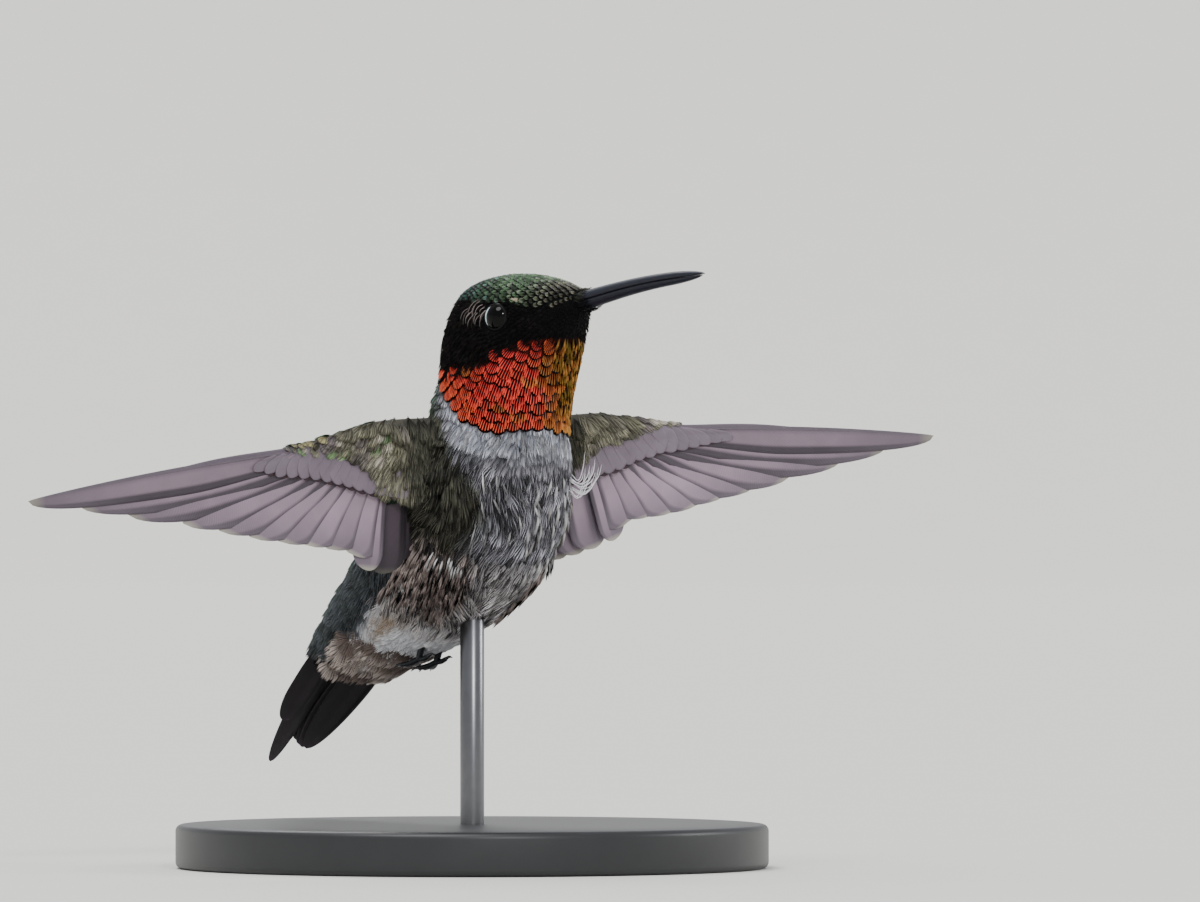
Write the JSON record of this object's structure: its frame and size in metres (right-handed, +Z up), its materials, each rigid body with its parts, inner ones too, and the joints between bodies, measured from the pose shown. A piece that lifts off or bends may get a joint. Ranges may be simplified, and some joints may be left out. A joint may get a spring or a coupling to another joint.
{
  "type": "ruby-throated hummingbird",
  "caption": "Hovering male hummingbird with spread wings, red throat and needle bill, held by one rod on a round base.",
  "frame": {"origin": "centre of the underside of the display stand's base, on the surface that it stands on", "axes": "+Z up; the bird faces -Y and its right wing reaches towards -X"},
  "size_m": [0.0996, 0.061, 0.0541],
  "materials": {
    "bill": "black horn with a slate sheen",
    "crown": "iridescent green scale feathers",
    "gorget": "iridescent scarlet to copper scale feathers",
    "eye": "wet black",
    "collar": "white loose feathers",
    "breast": "grey white feathers, olive on the flanks",
    "rump": "green above, pale mottled below",
    "tail": "black with a purple tinge",
    "wing_coverts": "olive and mauve coverts and secondaries",
    "wing_feathers": "thin mauve grey vanes",
    "foot": "black scaly skin",
    "stand_base": "satin black disc",
    "stand_rod": "darkened steel"
  },
  "bodies": {
    "root": {"bill_upper": "bill", "bill_lower": "bill", "head": "crown", "throat": "gorget", "eye_right": "eye", "eye_left": "eye", "neck": "collar", "torso": "breast", "rump": "rump", "tail": "tail", "wing_right_arm": "wing_coverts", "wing_left_arm": "wing_coverts", "wing_right_hand": "wing_feathers", "wing_left_hand": "wing_feathers", "leg_right": "foot", "leg_left": "foot", "stand_base": "stand_base", "stand_rod": "stand_rod"}
  },
  "joints": []
}
